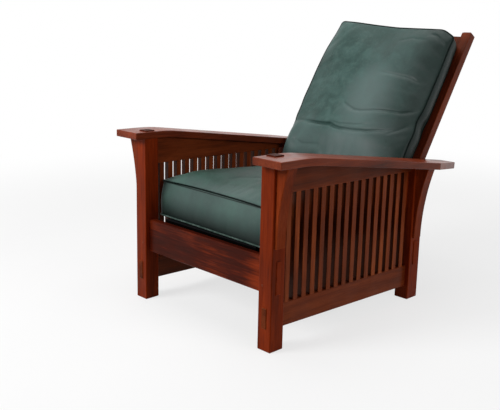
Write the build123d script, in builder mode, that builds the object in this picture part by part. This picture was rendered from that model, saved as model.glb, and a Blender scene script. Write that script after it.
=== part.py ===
from build123d import *
import os
from math import atan, cos, degrees, radians, sin, tan

# Reclining armchair with slatted sides, bent arms and two loose leather cushions.
# All sizes are millimetres. The chair faces -Y and the sitter's left hand is at +X.
# The origin is on the floor, midway between the foremost and rearmost points.
#
# The rear legs are cut a little shorter than the front ones, so the whole frame leans back.
# Heights and depths of the frame are therefore measured in the frame's own axes:
# depth from the front face of the front posts, height square to the rails.

# Frame and posts
frame_lean = 1.7
post_side = 57.0
width_over_posts = 702.0
depth_over_posts = 752.0
post_edge_round = 3.0
foot_bevel = 2.0
joint_fit = 0.1

# Arms
arm_top_height = 612.0
arm_thickness = 24.0
arm_width = 121.0
arm_front_overhang = 38.0
arm_rear_overhang = 178.0
arm_bend_radius = 700.0
arm_bend_gap = 0.5
arm_tail_taper = 60.0
arm_edge_round = 2.5
front_arm_tenon_side = 38.0
front_arm_tenon_proud = 4.0
rear_arm_tenon_side = 32.0
rear_arm_tenon_depth = 14.0

# Side rails
side_rail_thickness = 25.0
lower_rail_height = 77.0
lower_rail_floor_gap = 69.0
lower_tenon_shoulder = 5.0
upper_rail_front_height = 93.5
upper_rail_tail_height = 16.4
upper_tenon_depth = 20.0
upper_tenon_shoulder = 17.0
upper_tail_shoulder = 6.4
through_tenon_thickness = 20.0
through_tenon_proud = 3.0
tenon_end_bevel = 1.5
rail_edge_bevel = 1.5

# Spindles between the side rails
spindle_count = 16
spindle_width = 20.0
spindle_depth = 22.0
spindle_tenon_side = 12.0
spindle_tenon_length = 10.0
spindle_edge_bevel = 0.8

# Seat rails
seat_rail_thickness = 25.0
front_rail_underside = 181.0
front_rail_height = 116.0
rear_rail_height = 96.0
seat_tenon_shoulder = 4.0

# Corbels under the arms
corbel_foot_gap = 14.0
corbel_thickness = 40.0
corbel_top_reach = 49.0
corbel_foot_reach = 7.0
corbel_edge_bevel = 1.5

# Drop-in seat frame with webbing
seat_slope = 4.6
deck_front_lip = 8.0
deck_rear_lip = 9.0
deck_side_gap = 62.0
deck_end_gap = 2.0
seat_bar_width = 50.0
seat_bar_thickness = 22.0
cleat_width = 20.0
cleat_height = 24.0
webbing_thickness = 3.0
strap_width = 50.0
straps_lengthwise = 6
straps_crosswise = 6

# Seat cushion
soft_gap = 0.3
seat_cushion_side_overhang = 52.0
seat_cushion_front_gap = 14.0
seat_cushion_rear_gap = 24.0
seat_boxing_height = 118.0
seat_boxing_bulge = 9.0
seat_underside_lift = 6.0
seat_underside_inset = 7.0
seat_crown = 34.0
seat_corner_radius = 34.0
seat_draw_in = 7.0

# Back frame
recline = 31.0
pivot_rise = 97.0
back_frame_side_gap = 7.0
stile_width = 40.0
stile_thickness = 32.0
stile_length = 722.0
stile_top_bevel = 6.0
stile_edge_bevel = 1.5
top_rail_width = 58.0
top_rail_thickness = 20.0
top_rail_drop = 22.0
slat_count = 5
slat_width = 44.0
slat_thickness = 13.0
lowest_slat_height = 75.0
back_tenon_depth = 15.0
back_tenon_shoulder = 4.0

# Pivot pins and adjusting pegs
pin_radius = 6.35
pin_depth = 38.0
pin_collar_radius = 12.0
pin_running_gap = 0.06
side_play = 0.3
peg_shank_radius = 6.5
peg_shank_length = 60.0
peg_barrel_radius = 11.0
peg_knob_radius = 15.0
peg_knob_length = 20.0
peg_grip_neck = 3.0
peg_rest_gap = 0.3
peg_hole_count = 4
peg_hole_pitch = 25.4
peg_hole_spare_depth = 2.0

# Back cushion
back_cushion_side_gap = 7.0
back_cushion_taper = 35.0
back_cushion_start = 42.0
back_cushion_top_drop = 24.0
back_welt_height = 79.0
back_crown = 38.0
back_corner_radius = 40.0
back_rear_inset = 10.0
back_draw_in = 8.0

# One overrun serves every through cut
overrun = 5.0

# Places worked out from the sizes above
half_width = width_over_posts / 2
post_inner = half_width - post_side
post_centre = half_width - post_side / 2
front_post_centre = post_side / 2
rear_post_front = depth_over_posts - post_side
rear_post_centre = depth_over_posts - post_side / 2
lean_cos = cos(radians(frame_lean))
lean_sin = sin(radians(frame_lean))
lean_tan = tan(radians(frame_lean))
lower_rail_centre = lower_rail_floor_gap + lower_rail_height / 2
lower_tenon_height = lower_rail_height - 2 * lower_tenon_shoulder
arm_inner = post_inner
arm_outer = arm_inner + arm_width
arm_underside = arm_top_height - arm_thickness
arm_rear_end = depth_over_posts + arm_rear_overhang
bend_start = post_side + arm_bend_gap
upper_rail_underside = arm_underside - upper_rail_front_height
upper_tenon_height = upper_rail_front_height - 2 * upper_tenon_shoulder
upper_tail_tenon_height = upper_rail_tail_height - upper_tail_shoulder

# The slope, in radians, that brings the arm down to the tail of the upper rail
hollow_radius = arm_bend_radius - arm_thickness
arm_slope = 0
for _ in range(20):
    straight = rear_post_front - bend_start - hollow_radius * tan(arm_slope / 2)
    arm_slope = atan((upper_rail_front_height - upper_rail_tail_height) / straight)
slope_cos = cos(arm_slope)
slope_sin = sin(arm_slope)
slope_tan = tan(arm_slope)
bend_end = bend_start + arm_bend_radius * slope_sin
bend_end_height = arm_top_height - arm_bend_radius * (1 - slope_cos)

# Seat rails, and the seat frame that drops in between them and slopes to the rear
front_rail_centre = front_rail_underside + front_rail_height / 2
front_tenon_height = front_rail_height - 2 * seat_tenon_shoulder
rear_tenon_height = rear_rail_height - 2 * seat_tenon_shoulder
seat_front = front_post_centre + seat_rail_thickness / 2
seat_rear = rear_post_centre - seat_rail_thickness / 2
seat_tan = tan(radians(seat_slope))
seat_cos = cos(radians(seat_slope))
deck_front_height = front_rail_underside + front_rail_height + deck_front_lip
deck_rear_height = deck_front_height - (seat_rear - seat_front) * seat_tan
deck_width = 2 * (post_inner - deck_side_gap)
deck_length = (seat_rear - seat_front - 2 * deck_end_gap) / seat_cos
rear_rail_centre = deck_rear_height - deck_rear_lip - rear_rail_height / 2

# Back frame
pivot_depth = rear_post_centre
pivot_height = deck_rear_height + pivot_rise
back_tilt = recline + frame_lean
stile_outer = post_inner - back_frame_side_gap
stile_inner = stile_outer - stile_width

# The box of the chair runs from the arm's lower front edge to the back of the stile's top
foremost = arm_underside * lean_sin - arm_front_overhang * lean_cos
rearmost = (
    pivot_depth * lean_cos
    + pivot_height * lean_sin
    + (stile_length - stile_top_bevel) * sin(radians(back_tilt))
    + stile_thickness / 2 * cos(radians(back_tilt))
)
frame_plane = Plane(
    origin=(0, -(foremost + rearmost) / 2, 0),
    x_dir=(1, 0, 0),
    z_dir=(0, lean_sin, lean_cos),
)
frame_up = Axis(frame_plane.origin, frame_plane.z_dir)
frame_rearward = Axis(frame_plane.origin, frame_plane.y_dir)


def arm_top_at(depth):
    """Height of the sloping part of the arm's top at a depth behind its bend."""
    return bend_end_height - (depth - bend_end) * slope_tan


def arm_bottom_at(depth):
    """Height of the sloping part of the arm's underside at a depth behind its bend."""
    return arm_top_at(depth) - arm_thickness / slope_cos


def side_plane(x):
    """Plane facing +X at x. Its sketch axes are the frame's depth and height."""
    return Plane(
        origin=frame_plane.from_local_coords((x, 0, 0)),
        x_dir=frame_plane.y_dir,
        z_dir=(1, 0, 0),
    )


def front_plane(depth):
    """Plane facing forward at a depth. Its sketch axes are X and the frame's height."""
    return Plane(
        origin=frame_plane.from_local_coords((0, depth, 0)),
        x_dir=(1, 0, 0),
        z_dir=-frame_plane.y_dir,
    )


def leaning_plane(depth, height, angle, x=0, lift=0):
    """Plane whose normal leans back from the frame's height axis by an angle in degrees."""
    turn = radians(frame_lean + angle)
    normal = Vector(0, sin(turn), cos(turn))
    return Plane(
        origin=frame_plane.from_local_coords((0, depth, height)) + Vector(x, 0, 0) + normal * lift,
        x_dir=(1, 0, 0),
        z_dir=normal,
    )


def back_plane(lift=0):
    """Plane of the back frame through its pivot: sketch axes are X and the way up the back."""
    return leaning_plane(pivot_depth, pivot_height, recline - 90, lift=lift)


def back_side_plane(x):
    """Plane facing +X in the back frame: sketch axes run up the back and out of its front."""
    back = back_plane()
    return Plane(origin=back.origin + Vector(x, 0, 0), x_dir=back.y_dir, z_dir=(1, 0, 0))


def save(builder, name):
    """Label a finished piece and write it."""
    builder.part.label = name
    export_step(builder.part, f"parts/{name}.step")


def save_pair(builder, name):
    """Write a left-hand piece and its mirror image on the right."""
    save(builder, f"{name}_left")
    with BuildPart() as right:
        mirror(builder.part, about=Plane.YZ)
    save(right, f"{name}_right")


def mortise(x_size, y_size, z_size, x, y, z):
    """Cut a square mortise, centred on a point of the frame, with the joint's clearance."""
    with Locations((x, y, z)):
        Box(x_size, y_size, z_size, mode=Mode.SUBTRACT)


def spindle_depths():
    """Depths of the spindles' centres, spaced evenly between the posts."""
    clear = rear_post_front - post_side
    gap = (clear - spindle_count * spindle_width) / (spindle_count + 1)
    pitch = spindle_width + gap
    return [post_side + gap + spindle_width / 2 + pitch * index for index in range(spindle_count)]


def slat_heights():
    """Distances up the back from the pivot to the slats' centres."""
    top_rail_centre = stile_length - top_rail_drop - top_rail_width / 2
    pitch = (top_rail_centre - lowest_slat_height) / slat_count
    return [lowest_slat_height + pitch * index for index in range(slat_count)]


def peg_place(angle):
    """Depth and height of the peg that holds the back frame at an angle from upright."""
    lean = radians(angle)
    behind = stile_thickness / 2 + peg_barrel_radius + peg_rest_gap
    start_depth = pivot_depth + behind * cos(lean)
    start_height = pivot_height - behind * sin(lean)
    mid_drop = arm_thickness / 2 / slope_cos
    rise = arm_top_at(start_depth) - mid_drop - start_height
    travel = rise / (cos(lean) + sin(lean) * slope_tan)
    return start_depth + travel * sin(lean), start_height + travel * cos(lean)


peg_depth, peg_height = peg_place(recline)
spindles_at = spindle_depths()

os.makedirs("parts", exist_ok=True)


# Everything above the underside of the arms, for trimming the pieces that meet it
with BuildSketch(side_plane(0)) as above_arm_underside:
    with BuildLine():
        level_under = Line((-overrun, arm_underside), (bend_start, arm_underside))
        bend_hollow = JernArc(level_under @ 1, (1, 0), hollow_radius, -degrees(arm_slope))
        tail_under = Line(bend_hollow @ 1, (arm_rear_end, arm_bottom_at(arm_rear_end)))
        Polyline(
            tail_under @ 1,
            (arm_rear_end, arm_top_height + post_side),
            (-overrun, arm_top_height + post_side),
            level_under @ 0,
        )
    make_face()


# Posts
def plain_post(front, top_front, top_rear):
    """Square post in the frame's own axes: its foot is cut level, its top between two heights."""
    rear = front + post_side
    with BuildPart() as post:
        with BuildSketch(Plane.YZ.offset(post_inner)):
            with BuildLine():
                Polyline(
                    (front, front * lean_tan),
                    (rear, rear * lean_tan),
                    (rear, top_rear),
                    (front, top_front),
                    close=True,
                )
            make_face()
        extrude(amount=post_side)
        fillet(edges().filter_by(Axis.Z), radius=post_edge_round)
        sole = faces().sort_by(Axis.Z)[0]
        chamfer(sole.edges(), length=foot_bevel)
    return post.part


plain_front_post = plain_post(0, arm_underside, arm_underside)
with BuildPart(frame_plane) as front_post:
    add(plain_front_post)
    with Locations((post_centre, front_post_centre, arm_underside)):
        Box(
            front_arm_tenon_side,
            front_arm_tenon_side,
            arm_thickness + front_arm_tenon_proud,
            align=(Align.CENTER, Align.CENTER, Align.MIN),
        )
    tenon_top = faces().sort_by(Axis.Z)[-1]
    chamfer(tenon_top.edges(), length=tenon_end_bevel)
    mortise(
        through_tenon_thickness + 2 * joint_fit,
        post_side + 2 * overrun,
        lower_tenon_height + 2 * joint_fit,
        post_centre,
        front_post_centre,
        lower_rail_centre,
    )
    mortise(
        post_side + 2 * overrun,
        through_tenon_thickness + 2 * joint_fit,
        front_tenon_height + 2 * joint_fit,
        post_centre,
        front_post_centre,
        front_rail_centre,
    )
    mortise(
        through_tenon_thickness + 2 * joint_fit,
        2 * upper_tenon_depth,
        upper_tenon_height + 2 * joint_fit,
        post_centre,
        post_side,
        upper_rail_underside + (arm_underside - upper_rail_underside) / 2,
    )
save_pair(front_post, "front_post")

plain_rear_post = plain_post(
    rear_post_front, arm_bottom_at(rear_post_front), arm_bottom_at(depth_over_posts)
)
with BuildPart(frame_plane) as rear_post:
    add(plain_rear_post)
    with BuildSketch(side_plane(post_centre)):
        with BuildLine():
            tenon_front = rear_post_centre - rear_arm_tenon_side / 2
            tenon_rear = rear_post_centre + rear_arm_tenon_side / 2
            Polyline(
                (tenon_front, arm_bottom_at(tenon_front)),
                (tenon_rear, arm_bottom_at(tenon_rear)),
                (tenon_rear, arm_bottom_at(tenon_rear) + rear_arm_tenon_depth),
                (tenon_front, arm_bottom_at(tenon_front) + rear_arm_tenon_depth),
                close=True,
            )
        make_face()
    extrude(amount=rear_arm_tenon_side / 2, both=True)
    mortise(
        through_tenon_thickness + 2 * joint_fit,
        post_side + 2 * overrun,
        lower_tenon_height + 2 * joint_fit,
        post_centre,
        rear_post_centre,
        lower_rail_centre,
    )
    mortise(
        post_side + 2 * overrun,
        through_tenon_thickness + 2 * joint_fit,
        rear_tenon_height + 2 * joint_fit,
        post_centre,
        rear_post_centre,
        rear_rail_centre,
    )
    mortise(
        through_tenon_thickness + 2 * joint_fit,
        2 * upper_tenon_depth,
        upper_tail_tenon_height + 2 * joint_fit,
        post_centre,
        rear_post_front,
        upper_rail_underside + upper_tail_tenon_height / 2,
    )
    with BuildSketch(side_plane(post_inner)):
        with Locations((pivot_depth, pivot_height)):
            Circle(pin_radius + pin_running_gap / 2)
    extrude(amount=pin_depth + overrun, mode=Mode.SUBTRACT)
save_pair(rear_post, "rear_post")

# Arms: a level front part, a bend, then a straight tail that slopes down and tapers
with BuildPart(frame_plane) as arm:
    with BuildSketch(side_plane(arm_inner)):
        with BuildLine():
            nose = Line((-arm_front_overhang, arm_underside), (-arm_front_overhang, arm_top_height))
            level = Line(nose @ 1, (bend_start, arm_top_height))
            bend = JernArc(level @ 1, (1, 0), arm_bend_radius, -degrees(arm_slope))
            tail = Line(bend @ 1, (arm_rear_end, arm_top_at(arm_rear_end)))
            end = Line(tail @ 1, tail @ 1 - Vector(slope_sin, slope_cos) * arm_thickness)
            bend_under = bend @ 1 - Vector(slope_sin, slope_cos) * arm_thickness
            under = Line(end @ 1, bend_under)
            hollow = JernArc(
                under @ 1,
                (-slope_cos, slope_sin),
                hollow_radius,
                degrees(arm_slope),
            )
            Line(hollow @ 1, nose @ 0)
        make_face()
    extrude(amount=arm_width)
    with BuildSketch(frame_plane):
        with BuildLine():
            Polyline(
                (arm_outer + overrun, depth_over_posts),
                (arm_outer, depth_over_posts),
                (arm_outer - arm_tail_taper, arm_rear_end + overrun),
                (arm_outer + overrun, arm_rear_end + overrun),
                close=True,
            )
        make_face()
    extrude(amount=arm_top_height, mode=Mode.SUBTRACT)
    fillet(edges(), radius=arm_edge_round)
    mortise(
        front_arm_tenon_side + 2 * joint_fit,
        front_arm_tenon_side + 2 * joint_fit,
        3 * arm_thickness,
        post_centre,
        front_post_centre,
        arm_underside + arm_thickness / 2,
    )
    with BuildSketch(side_plane(post_centre)):
        with BuildLine():
            slot_front = rear_post_centre - rear_arm_tenon_side / 2 - joint_fit
            slot_rear = rear_post_centre + rear_arm_tenon_side / 2 + joint_fit
            slot_rise = rear_arm_tenon_depth + joint_fit
            Polyline(
                (slot_front, arm_bottom_at(slot_front) - overrun),
                (slot_rear, arm_bottom_at(slot_rear) - overrun),
                (slot_rear, arm_bottom_at(slot_rear) + slot_rise),
                (slot_front, arm_bottom_at(slot_front) + slot_rise),
                close=True,
            )
        make_face()
    extrude(amount=rear_arm_tenon_side / 2 + joint_fit, both=True, mode=Mode.SUBTRACT)
    with BuildSketch(side_plane(arm_inner)):
        for index in range(peg_hole_count):
            forward = index * peg_hole_pitch
            with Locations((peg_depth - forward * slope_cos, peg_height + forward * slope_sin)):
                Circle(peg_shank_radius + pin_running_gap)
    extrude(amount=peg_shank_length + peg_hole_spare_depth, mode=Mode.SUBTRACT)
save_pair(arm, "arm")


# Corbels: curved brackets on the outer faces of the posts
rear_corbel_top = arm_bottom_at(rear_post_centre)
corbel_length = rear_corbel_top - rear_rail_centre - rear_tenon_height / 2 - corbel_foot_gap


def corbel(post_front, top):
    """Bracket whose outer edge is one arc, thin at its foot and wide under the arm."""
    foot = top - corbel_length
    spread = corbel_top_reach - corbel_foot_reach
    radius = (corbel_length**2 + spread**2) / (2 * spread)
    half_rise = corbel_length / 2
    half_reach = half_width + corbel_foot_reach + radius - (radius**2 - half_rise**2) ** 0.5
    with BuildPart() as bracket:
        with BuildSketch(front_plane(post_front + (post_side - corbel_thickness) / 2)):
            with BuildLine():
                outer = ThreePointArc(
                    (half_width + corbel_foot_reach, foot),
                    (half_reach, foot + half_rise),
                    (half_width + corbel_top_reach, top),
                )
                top_edge = Polyline(
                    outer @ 1,
                    outer @ 1 + Vector(0, overrun),
                    (half_width, top + overrun),
                )
                Polyline(top_edge @ 1, (half_width, foot), outer @ 0)
            make_face()
        extrude(amount=-corbel_thickness)
        chamfer(edges().filter_by(GeomType.CIRCLE), length=corbel_edge_bevel)
        extrude(above_arm_underside.sketch, amount=width_over_posts, both=True, mode=Mode.SUBTRACT)
    return bracket


save_pair(corbel(0, arm_underside), "front_corbel")
save_pair(corbel(rear_post_front, rear_corbel_top), "rear_corbel")

# Lower side rails, with tenons through both posts
with BuildPart(frame_plane) as lower_rail:
    with Locations((post_centre, depth_over_posts / 2, lower_rail_centre)):
        Box(side_rail_thickness, rear_post_front - post_side, lower_rail_height)
    chamfer(edges().filter_by(frame_rearward), length=rail_edge_bevel)
    with Locations((post_centre, depth_over_posts / 2, lower_rail_centre)):
        Box(through_tenon_thickness, depth_over_posts + 2 * through_tenon_proud, lower_tenon_height)
    tips = faces().filter_by(frame_rearward).sort_by(frame_rearward)
    chamfer((tips[0].edges() + tips[-1].edges()), length=tenon_end_bevel)
    for depth in spindles_at:
        mortise(
            spindle_tenon_side + 2 * joint_fit,
            spindle_tenon_side + 2 * joint_fit,
            2 * (spindle_tenon_length + joint_fit),
            post_centre,
            depth,
            lower_rail_floor_gap + lower_rail_height,
        )
save_pair(lower_rail, "lower_side_rail")

# Upper side rails: deep at the front, tapering to the rear as the arm comes down
with BuildPart(frame_plane) as upper_rail:
    with BuildSketch(side_plane(post_centre)):
        with BuildLine():
            Polyline(
                (post_side, upper_rail_underside),
                (rear_post_front, upper_rail_underside),
                (rear_post_front, arm_top_height),
                (post_side, arm_top_height),
                close=True,
            )
        make_face()
    extrude(amount=side_rail_thickness / 2, both=True)
    extrude(above_arm_underside.sketch, amount=width_over_posts, both=True, mode=Mode.SUBTRACT)
    underside = faces().filter_by(frame_up).sort_by(Axis.Z)[0]
    chamfer(underside.edges().filter_by(frame_rearward), length=rail_edge_bevel)
    with Locations(
        (
            post_centre,
            post_side,
            upper_rail_underside + (arm_underside - upper_rail_underside) / 2,
        )
    ):
        Box(
            through_tenon_thickness,
            2 * (upper_tenon_depth - joint_fit),
            upper_tenon_height,
        )
    with Locations(
        (post_centre, rear_post_front, upper_rail_underside + upper_tail_tenon_height / 2)
    ):
        Box(
            through_tenon_thickness,
            2 * (upper_tenon_depth - joint_fit),
            upper_tail_tenon_height,
        )
    for depth in spindles_at:
        mortise(
            spindle_tenon_side + 2 * joint_fit,
            spindle_tenon_side + 2 * joint_fit,
            2 * (spindle_tenon_length + joint_fit),
            post_centre,
            depth,
            upper_rail_underside,
        )
save_pair(upper_rail, "upper_side_rail")

# Spindles, with a stub tenon at each end
spindle_foot = lower_rail_floor_gap + lower_rail_height
spindle_length = upper_rail_underside - spindle_foot
for index, depth in enumerate(spindles_at, start=1):
    with BuildPart(frame_plane) as spindle:
        with Locations((post_centre, depth, spindle_foot + spindle_length / 2)):
            Box(spindle_depth, spindle_width, spindle_length)
        chamfer(edges().filter_by(frame_up), length=spindle_edge_bevel)
        with Locations((post_centre, depth, spindle_foot + spindle_length / 2)):
            Box(
                spindle_tenon_side,
                spindle_tenon_side,
                spindle_length + 2 * spindle_tenon_length,
            )
    save(spindle, f"spindle_left_{index:02d}")
    with BuildPart() as spindle_right:
        mirror(spindle.part, about=Plane.YZ)
    save(spindle_right, f"spindle_right_{index:02d}")


# Seat rails, with tenons through the posts to their outer faces
def seat_rail(depth, centre, height, tenon_height):
    """Rail between the posts, with through tenons that stand a little proud."""
    with Locations((0, depth, centre)):
        Box(2 * post_inner, seat_rail_thickness, height)
    chamfer(edges().filter_by(Axis.X), length=rail_edge_bevel)
    with Locations((0, depth, centre)):
        Box(width_over_posts + 2 * through_tenon_proud, through_tenon_thickness, tenon_height)
    tips = faces().filter_by(Axis.X).sort_by(Axis.X)
    chamfer((tips[0].edges() + tips[-1].edges()), length=tenon_end_bevel)


with BuildPart(frame_plane) as front_rail:
    seat_rail(front_post_centre, front_rail_centre, front_rail_height, front_tenon_height)
save(front_rail, "front_seat_rail")

with BuildPart(frame_plane) as rear_rail:
    seat_rail(rear_post_centre, rear_rail_centre, rear_rail_height, rear_tenon_height)
save(rear_rail, "rear_seat_rail")

# Seat: a drop-in frame on two cleats, sloping down to the rear
seat_bar_drop = seat_bar_thickness / seat_cos


def deck_top_at(depth):
    """Height of the seat frame's top at a depth."""
    return deck_front_height - (depth - seat_front) * seat_tan


with BuildPart() as seat_cleats:
    for near, far in (
        (seat_front, seat_front + cleat_width),
        (seat_rear - cleat_width, seat_rear),
    ):
        with BuildSketch(side_plane(0)):
            with BuildLine():
                Polyline(
                    (near, deck_top_at(near) - seat_bar_drop),
                    (far, deck_top_at(far) - seat_bar_drop),
                    (far, deck_top_at(far) - seat_bar_drop - cleat_height),
                    (near, deck_top_at(far) - seat_bar_drop - cleat_height),
                    close=True,
                )
            make_face()
        extrude(amount=deck_width / 2, both=True)
save(seat_cleats, "seat_cleats")


def deck_plane(lift):
    """Plane along the seat frame, its origin at the middle of the frame, lifted off its top."""
    middle = (seat_front + seat_rear) / 2
    return leaning_plane(middle, deck_top_at(middle), seat_slope, lift=lift)


bar_offset = deck_width / 2 - seat_bar_width / 2
end_offset = deck_length / 2 - seat_bar_width / 2
cross_bar = deck_width - 2 * (seat_bar_width + joint_fit)
with BuildPart(deck_plane(-seat_bar_thickness / 2)) as seat_frame:
    with Locations((-bar_offset, 0), (bar_offset, 0)):
        Box(seat_bar_width, deck_length, seat_bar_thickness)
    with Locations((0, -end_offset), (0, end_offset)):
        Box(cross_bar, seat_bar_width, seat_bar_thickness)
    chamfer(edges().filter_by(Axis.X).group_by(Axis.Z)[-1], length=rail_edge_bevel)
save(seat_frame, "seat_frame")

strap_pitch_x = (deck_width - strap_width) / (straps_lengthwise - 1)
strap_pitch_y = (deck_length - strap_width) / (straps_crosswise - 1)
with BuildPart() as seat_webbing:
    with BuildSketch(deck_plane(0)):
        with GridLocations(strap_pitch_x, 1, straps_lengthwise, 1):
            Rectangle(strap_width, deck_length)
        with GridLocations(1, strap_pitch_y, 1, straps_crosswise):
            Rectangle(deck_width, strap_width)
    extrude(amount=webbing_thickness)
save(seat_webbing, "seat_webbing")


# Cushions: boxed forms with drawn-in sides and a crowned top
def cushion_outline(plane, half_x, low, high, corner, draw_in):
    """Rounded rectangle whose sides are drawn in between its corners."""
    middle = (low + high) / 2
    swing = corner * (1 - cos(radians(45)))
    with BuildSketch(plane) as outline:
        with BuildLine():
            ThreePointArc((corner - half_x, low), (0, low + draw_in), (half_x - corner, low))
            ThreePointArc(
                (half_x - corner, low), (half_x - swing, low + swing), (half_x, low + corner)
            )
            ThreePointArc((half_x, low + corner), (half_x - draw_in, middle), (half_x, high - corner))
            ThreePointArc(
                (half_x, high - corner), (half_x - swing, high - swing), (half_x - corner, high)
            )
            ThreePointArc((half_x - corner, high), (0, high - draw_in), (corner - half_x, high))
            ThreePointArc(
                (corner - half_x, high), (swing - half_x, high - swing), (-half_x, high - corner)
            )
            ThreePointArc(
                (-half_x, high - corner), (draw_in - half_x, middle), (-half_x, low + corner)
            )
            ThreePointArc(
                (-half_x, low + corner), (swing - half_x, low + swing), (corner - half_x, low)
            )
        make_face()
    return outline.sketch


crown_inset_shares = (0.0, 0.08, 0.19, 0.33, 0.50, 0.70, 0.90)
crown_corner_share = 0.6
crown_fullness = 2.6
boxing_fall_shares = (0.0, 0.2, 0.5, 0.8, 1.0)
boxing_bulge_shares = (0.0, 0.7, 1.0, 0.7, 0.0)
back_fall_shares = (0.0, 0.15, 0.4, 0.7, 1.0)
back_spread_shares = (0.0, 0.35, 0.75, 1.0, 1.0)


def crown(plane_at, base, rise, half_x, low, high, corner, draw_in):
    """Outlines of a cushion's crowned face, from its seam to its top."""
    outlines = []
    reach = min(half_x, (high - low) / 2)
    for inset_share in crown_inset_shares:
        inset = inset_share * reach
        rise_share = 1 - (1 - inset_share) ** crown_fullness
        outlines.append(
            cushion_outline(
                plane_at(base + rise_share * rise),
                half_x - inset,
                low + inset,
                high - inset,
                (1 - inset_share) * (corner + inset_share * crown_corner_share * reach),
                draw_in * (1 - inset_share),
            )
        )
    return outlines


seat_high = deck_length / 2 - seat_cushion_rear_gap
seat_low = seat_cushion_front_gap - deck_length / 2
seat_rest = webbing_thickness + soft_gap
seat_seam = seat_rest + seat_underside_lift + seat_boxing_height
seat_half = deck_width / 2 + seat_cushion_side_overhang
seat_boxing = []
for fall_share, bulge_share in zip(boxing_fall_shares, boxing_bulge_shares):
    bulge = bulge_share * seat_boxing_bulge
    seat_boxing.append(
        cushion_outline(
            deck_plane(seat_rest + seat_underside_lift + fall_share * seat_boxing_height),
            seat_half,
            seat_low - bulge,
            seat_high,
            seat_corner_radius,
            seat_draw_in,
        )
    )
seat_underside = cushion_outline(
    deck_plane(seat_rest),
    seat_half - seat_underside_inset,
    seat_low + seat_underside_inset,
    seat_high - seat_underside_inset,
    seat_corner_radius,
    seat_draw_in,
)
seat_top = crown(
    deck_plane,
    seat_seam,
    seat_crown,
    seat_half,
    seat_low,
    seat_high,
    seat_corner_radius,
    seat_draw_in,
)
with BuildPart() as seat_cushion:
    loft([seat_underside, *seat_boxing], ruled=True)
    loft(seat_top, ruled=True)
save(seat_cushion, "seat_cushion")

# Back frame: two stiles, a top rail and slats, tenoned together and flush at the front
stile_half = stile_thickness / 2
top_rail_centre = stile_length - top_rail_drop - top_rail_width / 2
back_inner_width = 2 * stile_inner


def back_member(width, thickness, height):
    """Rail or slat between the stiles, flush with their front, with a stub tenon at each end."""
    with Locations((0, height, stile_half - thickness / 2)):
        Box(back_inner_width, width, thickness)
    chamfer(edges().filter_by(Axis.X), length=stile_edge_bevel)
    with Locations((0, height, stile_half - thickness / 2)):
        Box(
            back_inner_width + 2 * (back_tenon_depth - joint_fit),
            width - 2 * back_tenon_shoulder,
            thickness - 2 * back_tenon_shoulder,
        )


with BuildPart() as stile:
    with BuildSketch(back_side_plane(stile_inner)):
        with BuildLine():
            front_edge = Line((stile_length, stile_half), (0, stile_half))
            foot = ThreePointArc(front_edge @ 1, (-stile_half, 0), (0, -stile_half))
            rear_edge = Line(foot @ 1, (stile_length, -stile_half))
            Line(rear_edge @ 1, front_edge @ 0)
        make_face()
    extrude(amount=stile_width)
    top = faces().sort_by(Axis.Z)[-1]
    chamfer(top.edges(), length=stile_top_bevel)
    up_the_back = Axis((0, 0, 0), back_plane().y_dir)
    chamfer(edges().filter_by(up_the_back), length=stile_edge_bevel)
    with BuildSketch(back_side_plane(stile_inner)):
        Circle(pin_radius + pin_running_gap)
    extrude(amount=stile_width, mode=Mode.SUBTRACT)
    members = [(height, slat_width, slat_thickness) for height in slat_heights()]
    members.append((top_rail_centre, top_rail_width, top_rail_thickness))
    for height, width, thickness in members:
        with BuildSketch(back_side_plane(stile_inner)):
            with Locations((height, stile_half - thickness / 2)):
                Rectangle(
                    width - 2 * back_tenon_shoulder + 2 * joint_fit,
                    thickness - 2 * back_tenon_shoulder + 2 * joint_fit,
                )
        extrude(amount=back_tenon_depth, mode=Mode.SUBTRACT)
save_pair(stile, "back_stile")

with BuildPart(back_plane()) as top_rail:
    back_member(top_rail_width, top_rail_thickness, top_rail_centre)
save(top_rail, "back_top_rail")

slat_parts = []
for height in slat_heights():
    with BuildPart(back_plane()) as slat:
        back_member(slat_width, slat_thickness, height)
    slat_parts.append(slat.part)
with BuildPart() as back_slats:
    add(slat_parts)
save(back_slats, "back_slats")

# Pivot pins: fixed in the rear posts, with a collar that spaces the back frame
with BuildPart() as pivot_pins:
    with BuildSketch(side_plane(stile_inner)):
        with Locations((pivot_depth, pivot_height)):
            Circle(pin_radius)
    extrude(amount=post_inner + pin_depth - stile_inner)
    with BuildSketch(side_plane(stile_outer + side_play)):
        with Locations((pivot_depth, pivot_height)):
            Circle(pin_collar_radius)
    extrude(amount=post_inner - stile_outer - side_play)
    mirror(about=Plane.YZ)
save(pivot_pins, "pivot_pins")

# Adjusting pegs: turned pins in the rearmost holes of the arms, behind the stiles
peg_shoulder = arm_inner - side_play
peg_neck = stile_inner - peg_grip_neck
peg_end = peg_neck - peg_knob_length
peg_axis_origin = frame_plane.from_local_coords((0, peg_depth, peg_height))
with BuildPart() as peg:
    with BuildSketch(Plane(origin=peg_axis_origin, x_dir=(1, 0, 0), z_dir=(0, -1, 0))):
        with BuildLine():
            run = Polyline(
                (peg_end, 0),
                (peg_end, peg_shank_radius),
                (peg_end + peg_knob_radius - peg_shank_radius, peg_knob_radius),
                (peg_neck - peg_knob_radius + peg_barrel_radius, peg_knob_radius),
                (peg_neck, peg_barrel_radius),
                (peg_shoulder, peg_barrel_radius),
                (peg_shoulder, peg_shank_radius),
                (arm_inner + peg_shank_length, peg_shank_radius),
                (arm_inner + peg_shank_length, 0),
            )
            Line(run @ 1, run @ 0)
        make_face()
    revolve(axis=Axis(peg_axis_origin, (1, 0, 0)))
save_pair(peg, "peg")

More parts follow.
